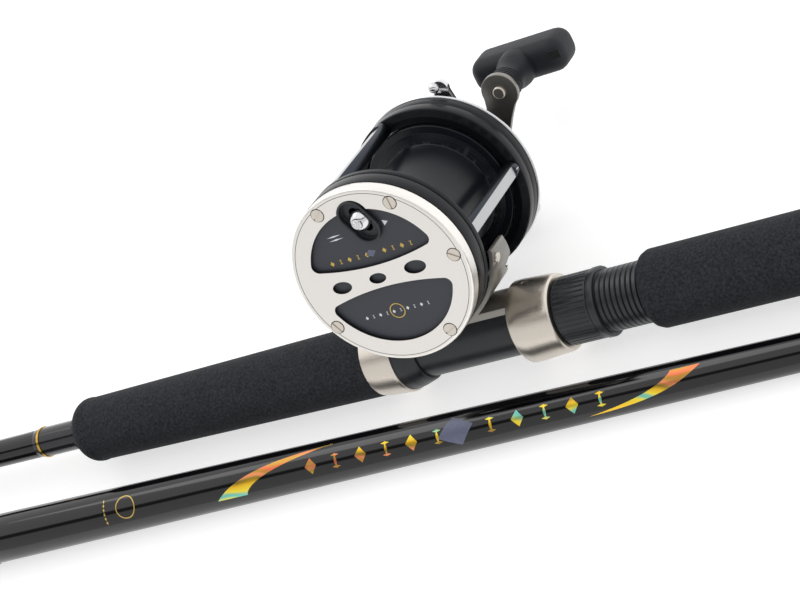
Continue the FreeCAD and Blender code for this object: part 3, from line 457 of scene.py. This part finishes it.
def painted_shade_black():
    """Dull black: painted shade on the windows' walls, in the line near the cap's rim and on the
    knob's recess; also the lines round the screws.
    """
    return grained("painted_shade_black", "#0a0a0c", 0.0, 0.5, 0.6, 2.0, rough=(0.42, 0.6))


def milled_nickel():
    """Bright nickel on a milled flat: fine straight marks along the bar."""
    return grained("milled_nickel", "#b6b7b8", 1.0, 0.35, 0.5, 3.0, rough=(0.24, 0.4),
                   stretch=(1.0, 0.05, 1.0))


def gunmetal():
    """Dark plated steel of the frame bars: a soft grey sheen along each bar."""
    return grained("gunmetal", "#3e4248", 1.0, 0.36, 1.5, 3.0, rough=(0.3, 0.44))


def holographic_foil():
    """Hot-stamped holographic foil: gold that breaks into orange, rose and teal bands."""
    material, shader = new_material("holographic_foil", "#d9b43a", 0.7, 0.28)
    place = add(material, "TexCoord").outputs["Object"]
    along = add(material, "Mapping", {"Vector": place, "Rotation": (MARK_TURN, 0, 0.12)})
    wander = add(material, "TexNoise", {"Vector": along, "Scale": 1000.0 / 30.0,
                                        "Detail": 1.0, "Roughness": 0.55})
    shift = add(material, "Math", {0: wander, 1: 1.6}, operation="MULTIPLY")
    parts = add(material, "SeparateXYZ", {0: along}).outputs
    height = add(material, "Math", {0: parts[1], 1: 1 / (FOIL_BAND * MM), 2: shift},
                 operation="MULTIPLY_ADD")
    band = add(material, "Math", {0: height, 1: 1.0}, operation="PINGPONG")
    ramp = add(material, "ValToRGB", {0: band}, shader["Base Color"])
    stops = ((0.0, "#dd6a4a"), (0.14, "#a88430"), (0.28, "#ee8f62"), (0.42, "#9a8230"),
             (0.58, "#f0bc2c"), (0.82, "#f4de42"), (0.93, "#8fcaa0"), (1.0, "#6cc2bc"))
    points = ramp.color_ramp.elements
    while len(points) < len(stops):
        points.new(0.5)
    for point, (where, code) in zip(points, stops):
        point.position = where
        point.color = colour(code)
    return material


def gold_ink():
    """Fine gold ink of the printed lines."""
    return grained("gold_ink", "#c8a64c", 0.5, 0.35, 0.4, 2.0, tones=("#a98938", "#e2c56a"))


def white_ink():
    """White pad-printed ink, slightly uneven."""
    return grained("white_ink", "#d8dade", 0.0, 0.5, 0.4, 2.0, tones=("#b9bcc2", "#eceef0"))


def grey_ink():
    """Blue-grey ink of the lozenge between the gold marks."""
    return grained("grey_ink", "#5c6074", 0.2, 0.4, 0.8, 2.0, tones=("#50546a", "#6c7086"))


EVA = eva_foam()
RUBBER = moulded_rubber()
SOFT_GRIP = soft_grip_rubber()
VARNISH = varnished_blank()
GRAPHITE = graphite_nylon()
STAINLESS = polished_stainless()
SILVER = satin_silver()
SLATE = slate_enamel()
BLACK = black_coating()
CHROME = bright_chrome()
NICKEL = dark_nickel()
STEEL = machined_steel()
BRONZE = cut_bronze()
ANODISED = spool_anodising()
GOLD = gold_foil()
THREAD = wrap_thread()
CERAMIC = guide_ceramic()
FIBRE = drag_fibre()
PAINTED_SHADE = painted_shade_black()
MILLED = milled_nickel()
GUNMETAL = gunmetal()
HOLOGRAM = holographic_foil()
GOLD_INK = gold_ink()
WHITE_INK = white_ink()
GREY_INK = grey_ink()

CARRIED_OVER = (
    (EVA, ("foregrip", "rear_grip")),
    (RUBBER, ("butt_cap",)),
    (VARNISH, ("handle_blank",)),
    (GRAPHITE, ("seat_barrel", "seat_thread")),
    (STAINLESS, ("stripper_frame", "tip_guide_frames")),
    (SLATE, ("window_plate",)),
    (BLACK, ("left_bearing_plate",)),
    (CHROME, ("bearing_cap",)),
    (STEEL, ("bridge_plate", "gear_sleeve", "ratchet", "dog", "dog_pin", "yoke", "lever_cam",
             "click_tongue", "left_bearing", "right_bearing", "spool_shaft")),
    (BRONZE, ("main_gear", "pinion", "click_gear")),
    (GOLD, ("winding_trim_ring",)),
    (THREAD, ("handle_wraps", "tip_wraps", "winding_check")),
    (CERAMIC, ("stripper_ring", "tip_guide_rings")),
    (FIBRE, ("drag_washers",)),
)

DRESSED = (
    (STAINLESS, 0.25, ("fixed_hood", "moving_hood", "ferrule_sleeve")),
    (GRAPHITE, 0.2, ("hood_nut", "hood_collar", "clicker_escutcheon")),
    (BLACK, 0.35, ("left_frame_ring", "right_frame_ring", "right_housing")),
    (CHROME, 0.25, ("right_rim", "free_spool_lever", "star_wheel")),
    (STAINLESS, 0.08, ("side_screws", "small_screws", "knob_spindle")),
    (NICKEL, 0.25, ("reel_stand", "handle_arm", "handle_nut")),
    (ANODISED, 0.3, ("spool",)),
)


def finish_cad_nodes():
    for material, nodes in CARRIED_OVER:
        for node in nodes:
            for slot in frame["nodes"][node].material_slots:
                slot.material = material
    for material, edge_mm, nodes in DRESSED:
        for node in nodes:
            dress(node, [material], edge_mm)


# --- reel ---

def side_cap():
    """The silver cap: its window walls are black, a painted shade for the dark gap round each
    window.
    """
    axis = SPOOL_AXIS

    # faces of the windows' walls get the painted shade, all other faces the silver
    def pick_material(face):
        middle = face.calc_center_median() - SPOOL_AT
        radius = (middle - axis * middle.dot(axis)).length
        wall = abs(face.normal.dot(axis)) < 0.3
        return 1 if wall and radius < WINDOW_R * MM else 0

    dress("left_side_cap", [SILVER, PAINTED_SHADE], 0.3, pick_material, 3)


def pillars():
    """Dark bars whose milled flats are bright."""
    for node in ("rear_pillar", "top_pillar", "front_pillar", "lower_pillar"):
        low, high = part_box(node)
        middle = (Vector(low) + Vector(high)) / 2 - SPOOL_AT
        outward = (middle - SPOOL_AXIS * middle.dot(SPOOL_AXIS)).normalized()
        dress(node, [GUNMETAL, MILLED], 0.12,
              lambda face: 1 if face.normal.dot(outward) > 0.998 else 0)


def face_mark(name, mesh, material, lift_mm=MARK_LIFT, at_y=PLATE_Y):
    """A flat mark drawn with x and y, set on the plate behind the windows or on the cap."""
    turn = Matrix.Rotation(math.radians(90), 4, "X")
    centre = SPOOL_UP / MM
    move = Matrix.Translation((centre.x, at_y - lift_mm, centre.z))
    bmesh.ops.transform(mesh, matrix=move @ turn, verts=mesh.verts)
    place_upright(mesh)
    outward = LAY.to_3x3() @ Vector((0, -1, 0))
    for face in mesh.faces:
        if face.normal.dot(outward) < 0:
            face.normal_flip()
    finish_piece(name, mesh, "handle_section", [material], SLOT_OF["window_plate"])


def flat_shape(mesh, sides, size, at, turn_deg=0.0, ring_mm=0.0):
    """A flat polygon, scaled to a size in x and y; ring_mm leaves only its outline."""
    made = bmesh.ops.create_circle(mesh, cap_ends=True, segments=sides, radius=1.0)["verts"]
    if ring_mm:
        inner = list({face for vert in made for face in vert.link_faces})
        rim = bmesh.ops.inset_individual(mesh, faces=inner, thickness=ring_mm / min(size))["faces"]
        made = list({vert for face in rim for vert in face.verts})
        bmesh.ops.delete(mesh, geom=inner, context="FACES_ONLY")
    place = (Matrix.Translation((*at, 0)) @ Matrix.Rotation(math.radians(turn_deg), 4, "Z")
             @ Matrix.Diagonal((*size, 1, 1)))
    bmesh.ops.transform(mesh, matrix=place, verts=made)


def mark_row(mesh, row, skip):
    """Alternating lozenges and slim barred strokes in a row, with a gap left at skip."""
    start, end, level, height = row
    count = int((end - start) / (1.75 * height)) + 1
    step = (end - start) / (count - 1)
    for i in range(count):
        x = start + i * step
        if abs(x - skip) < 0.8 * height:
            continue
        if i % 2:
            flat_shape(mesh, 4, (0.10 * height, 0.5 * height), (x, level))
            for side in (1, -1):
                flat_shape(mesh, 4, (0.30 * height, 0.09 * height),
                           (x, level + 0.36 * height * side))
        else:
            flat_shape(mesh, 4, (0.42 * height, 0.5 * height), (x, level))


def plate_marks():
    """Plain printed marks on the slate plate: rows of lozenges, a pointer and a ring."""
    mesh = bmesh.new()
    mark_row(mesh, GOLD_ROW, 0.0)
    face_mark("plate_gold_row", mesh, GOLD_INK)
    mesh = bmesh.new()
    flat_shape(mesh, 4, *PLATE_LOZENGE, PLATE_LOZENGE_TILT)
    face_mark("plate_grey_lozenge", mesh, GREY_INK)
    mesh = bmesh.new()
    mark_row(mesh, WHITE_ROW, PLATE_RING_AT[0])
    face_mark("plate_white_row", mesh, WHITE_INK)
    mesh = bmesh.new()
    flat_shape(mesh, 32, (PLATE_RING_R, PLATE_RING_R), PLATE_RING_AT, 0.0, PLATE_RING_W)
    face_mark("plate_gold_ring", mesh, GOLD_INK)
    mesh = bmesh.new()
    flat_shape(mesh, 3, (POINTER_R, POINTER_R), POINTER_AT, POINTER_TILT)
    face_mark("clicker_pointer", mesh, WHITE_INK)
    mesh = bmesh.new()
    for at in DASHES_AT:
        flat_shape(mesh, 4, DASH, at, DASH_TILT)
    face_mark("clicker_dashes", mesh, WHITE_INK)


def cap_lines():
    """Fine black lines on the cap: one near its rim, a painted shade that stands for a groove, and
    one round each screw.
    """
    mesh = bmesh.new()
    flat_shape(mesh, 128, (RIM_LINE_R, RIM_LINE_R), (0.0, 0.0), 0.0, RIM_LINE_W)
    for angle in SCREW_ANGLES:
        turn = math.radians(angle)
        at = (SCREW_RING_R * math.cos(turn), SCREW_RING_R * math.sin(turn))
        flat_shape(mesh, 32, (SCREW_LINE_R, SCREW_LINE_R), at, 0.0, SCREW_LINE_W)
    face_mark("rim_line", mesh, PAINTED_SHADE, LINE_LIFT, FACE_Y)


def add_block(mesh, centre, size, edge, segments):
    """A box with rounded edges."""
    cube = bmesh.ops.create_cube(mesh, size=1.0)["verts"]
    bmesh.ops.transform(mesh, verts=cube,
                        matrix=Matrix.Translation(centre) @ Matrix.Diagonal((*size, 1)))
    bmesh.ops.bevel(mesh, geom=mesh.edges[:], offset=edge, offset_type="OFFSET",
                    segments=segments, profile=0.5, affect="EDGES", material=-1,
                    clamp_overlap=True)


def knob():
    """A rounded cross bar on a ribbed neck."""
    x, _, z = KNOB_UP / MM
    mesh = bmesh.new()
    add_block(mesh, (x, KNOB_BAR_START + KNOB_BAR[1] / 2, z), KNOB_BAR, KNOB_EDGE, 6)
    neck = [(NECK_START, SPINDLE_R), (NECK_START, NECK_R - 0.4), (NECK_START + 0.4, NECK_R)]
    for rib in range(RIB_COUNT):
        start = RIB_START + RIB_PITCH * rib
        neck += [(start, NECK_R), (start + 0.25, NECK_R - RIB_DEPTH),
                 (start + 0.5, NECK_R - RIB_DEPTH), (start + 0.75, NECK_R)]
    neck += [(67.5, 6.6), (71.0, 7.0), (74.0, 8.0), (77.0, 8.4), (NECK_END, 8.4),
             (NECK_END, SPINDLE_R), (NECK_START, SPINDLE_R)]
    turned(mesh, neck, (x, 0, z), (0, 1, 0), (1, 0, 0), 64)
    place_upright(mesh)
    finish_piece("knob_t_grip", mesh, "handle_knob", [SOFT_GRIP], SLOT_OF["knob_grip"],
                 ("knob_grip",))


def knob_recess_shade():
    """A thin dark plate, a painted shade that stands for the small recess at one end of the bar."""
    x, _, z = KNOB_UP / MM
    at = (x + KNOB_RECESS_AT[0], KNOB_BAR_START + 0.05, z + KNOB_RECESS_AT[1])
    mesh = bmesh.new()
    add_block(mesh, at, KNOB_RECESS, 0.1, 1)
    place_upright(mesh)
    finish_piece("knob_recess_shade", mesh, "handle_knob", [PAINTED_SHADE], SLOT_OF["knob_grip"])


def clicker_button():
    """A bright stepped cone with a small off-centre nub, on its stem."""
    x, z = CLICKER_AT[0], CLICKER_AT[1] + SPOOL_UP.z / MM
    top, base = CLICKER_TOP, CLICKER_BASE
    outline = [(STEM_END, 0.0), (STEM_END, STEM_R), (base, STEM_R), (base, CLICKER_R - 0.2),
               (base - 0.2, CLICKER_R), (base - 0.9, CLICKER_R),
               (base - 1.1, CLICKER_R - 0.15), (top + 1.3, 3.1), (top + 0.9, 2.4),
               (top + 0.3, 2.2), (top + 0.05, 1.9), (top, 1.5), (top, 0.0)]
    mesh = bmesh.new()
    turned(mesh, outline, (x, 0, z), (0, 1, 0), (1, 0, 0), 64)
    nub = bmesh.ops.create_uvsphere(mesh, u_segments=24, v_segments=16, radius=0.9)["verts"]
    bmesh.ops.translate(mesh, verts=nub, vec=(x - 0.4, top + 0.1, z + 0.7))
    place_upright(mesh)
    finish_piece("clicker_cone", mesh, "clicker", [CHROME], SLOT_OF["clicker_button"],
                 ("clicker_button",), 30.0)


# --- tip section ---

def around_tip(mesh):
    """Bend a flat drawing, x along the tip section and y round it, onto the blank."""
    for vert in mesh.verts:
        along, around, _ = vert.co
        radius = TIP_BUTT_R - TIP_TAPER * along + MARK_LIFT
        turn = MARK_TURN + around / radius
        spot = Vector((along, radius * math.sin(turn), radius * math.cos(turn)))
        vert.co = TIP_PLACE @ (spot * MM)


def tip_mark(name, mesh, material):
    """Cut a flat drawing finely, wrap it round the blank and turn its faces outward."""
    bmesh.ops.triangulate(mesh, faces=mesh.faces)
    for _ in range(5):
        long = [edge for edge in mesh.edges if edge.calc_length() > MARK_EDGE]
        bmesh.ops.subdivide_edges(mesh, edges=long, cuts=1)
        bmesh.ops.triangulate(mesh, faces=mesh.faces)
    around_tip(mesh)
    axis_at, axis_to = TIP_PLACE.to_translation(), TIP_PLACE.to_3x3() @ Vector((1, 0, 0))
    mesh.normal_update()
    for face in mesh.faces:
        out = face.calc_center_median() - axis_at
        if face.normal.dot(out - axis_to * out.dot(axis_to)) < 0:
            face.normal_flip()
    finish_piece(name, mesh, "tip_section", [material], SLOT_OF["tip_blank"])


def bezier(points, t):
    """A point at t on the curve of three control points."""
    start, bend, end = [Vector(point) for point in points]
    return start * (1 - t) ** 2 + bend * 2 * t * (1 - t) + end * t ** 2


def flash(name, tip, wide, size):
    """A blade-shaped foil flash: wide at one end, curling round the blank to a point."""
    mesh = bmesh.new()
    bmesh.ops.create_grid(mesh, x_segments=40, y_segments=8, size=1.0)
    sign = 1 if tip > wide else -1
    for vert in mesh.verts:
        run, across = (vert.co.x + 1) / 2, (vert.co.y + 1) / 2
        spot = bezier(FLASH_UPPER, run) * across + bezier(FLASH_LOWER, run) * (1 - across)
        vert.co = (wide + sign * spot.x * size, sign * spot.y * size, 0)
    tip_mark(name, mesh, HOLOGRAM)


def tip_blank():
    """The tapered tube, with its socket and rounded mouth."""
    end_r = TIP_BUTT_R - TIP_TAPER * TIP_LENGTH
    outline = [(SOCKET_DEPTH, 0.0), (SOCKET_DEPTH, SOCKET_R), (0.3, SOCKET_R),
               (0.0, SOCKET_R + 0.3), (0.0, TIP_BUTT_R - 0.5), (0.15, TIP_BUTT_R - 0.15),
               (0.5, TIP_BUTT_R - 0.005)]
    outline += [(at, TIP_BUTT_R - TIP_TAPER * at) for at in range(50, int(TIP_LENGTH), 120)]
    outline += [(TIP_LENGTH, end_r), (TIP_LENGTH, 0.0)]
    mesh = bmesh.new()
    turned(mesh, outline, (0, 0, 0), (1, 0, 0), (0, 0, 1), 128)
    bmesh.ops.transform(mesh, matrix=TIP_PLACE @ Matrix.Scale(MM, 4), verts=mesh.verts)
    finish_piece("tip_tube", mesh, "tip_section", [VARNISH], SLOT_OF["tip_blank"],
                 ("tip_blank",), 30.0)


def tip_marks():
    """Foil flashes, a row of plain marks, a lozenge, and a small ring with dots beside it."""
    flash("left_flash", *LEFT_FLASH)
    flash("right_flash", *RIGHT_FLASH)
    mesh = bmesh.new()
    mark_row(mesh, FOIL_ROW, TIP_LOZENGE[1][0])
    tip_mark("tip_foil_row", mesh, HOLOGRAM)
    mesh = bmesh.new()
    flat_shape(mesh, 4, *TIP_LOZENGE, TIP_LOZENGE_TILT)
    tip_mark("tip_grey_lozenge", mesh, GREY_INK)
    mesh = bmesh.new()
    flat_shape(mesh, 32, (TIP_RING_R, TIP_RING_R), TIP_RING_AT, 0.0, TIP_RING_W)
    tip_mark("tip_gold_ring", mesh, GOLD_INK)
    mesh = bmesh.new()
    for i in range(DOT_COUNT):
        flat_shape(mesh, 4, DOT, (DOTS_AT[0], DOTS_AT[1] - DOT_PITCH * i))
    tip_mark("tip_gold_dots", mesh, GOLD_INK)


# --- stage ---

def make_floor():
    """A plain pale sheet that gives off light of its own, so that it stays near white."""
    mesh = bmesh.new()
    floor_z = cad_box[0][2]
    bmesh.ops.create_grid(mesh, x_segments=1, y_segments=1, size=FLOOR_HALF)
    bmesh.ops.translate(mesh, verts=mesh.verts, vec=(0, 0, floor_z))
    data = bpy.data.meshes.new("floor")
    mesh.to_mesh(data)
    mesh.free()
    floor = bpy.data.objects.new("floor", data)
    bpy.context.scene.collection.objects.link(floor)
    material, shader = new_material("white_paper", "#cccccc", 0.0, 0.9, Specular_IOR_Level=0.1)
    shader["Emission Color"].default_value = colour("#ffffff")
    shader["Emission Strength"].default_value = FLOOR_GLOW
    data.materials.append(material)


def make_camera():
    data = bpy.data.cameras.new("camera")
    data.lens = CAMERA_LENS
    data.sensor_width = 36.0
    camera = bpy.data.objects.new("camera", data)
    bpy.context.scene.collection.objects.link(camera)
    look = Vector(CAMERA_AIM) - Vector(CAMERA_PLACE)
    turn = look.to_track_quat("-Z", "Y").to_matrix().to_4x4()
    camera.matrix_world = (Matrix.Translation(CAMERA_PLACE) @ turn
                           @ Matrix.Rotation(CAMERA_ROLL, 4, "Z"))
    bpy.context.scene.camera = camera


def make_world():
    """Two wide softboxes overhead with a dark gap between them, which runs along the rod."""
    world = bpy.data.worlds.new("studio")
    world.use_nodes = True
    place = add(world, "TexCoord").outputs["Generated"]
    parts = add(world, "SeparateXYZ", {0: place}).outputs
    angle = add(world, "Math", {0: parts[1], 1: parts[2]}, operation="ARCTAN2")
    offset = add(world, "Math", {0: angle, 1: GAP_MIDDLE}, operation="SUBTRACT")
    distance = add(world, "Math", {0: offset}, operation="ABSOLUTE")
    outside = add(world, "MapRange", {"Value": distance, "From Min": GAP_HALF - 0.02,
                                      "From Max": GAP_HALF + 0.03, "To Min": 0.15})
    side = add(world, "MapRange", {"Value": angle, "From Min": GAP_MIDDLE - 0.05,
                                   "From Max": GAP_MIDDLE + 0.05, "To Min": 0.88,
                                   "To Max": 1.15})
    background = world.node_tree.nodes["Background"].inputs
    background["Color"].default_value = colour("#ffffff")
    add(world, "Math", {0: outside, 1: side}, background["Strength"], operation="MULTIPLY")
    bpy.context.scene.world = world


def make_key():
    """A soft key light from above and behind, for contact shadows."""
    light = bpy.data.lights.new("key", "AREA")
    light.energy = KEY_POWER
    light.size = KEY_SIZE
    lamp = bpy.data.objects.new("key", light)
    bpy.context.scene.collection.objects.link(lamp)
    aim = Vector(KEY_AIM) - Vector(KEY_PLACE)
    turn = aim.to_track_quat("-Z", "Y").to_matrix().to_4x4()
    lamp.matrix_world = Matrix.Translation(KEY_PLACE) @ turn


finish_cad_nodes()
side_cap()
pillars()
plate_marks()
cap_lines()
knob()
knob_recess_shade()
clicker_button()
tip_blank()
tip_marks()
make_floor()
make_camera()
make_world()
make_key()
bpy.context.scene.view_settings.view_transform = "Standard"
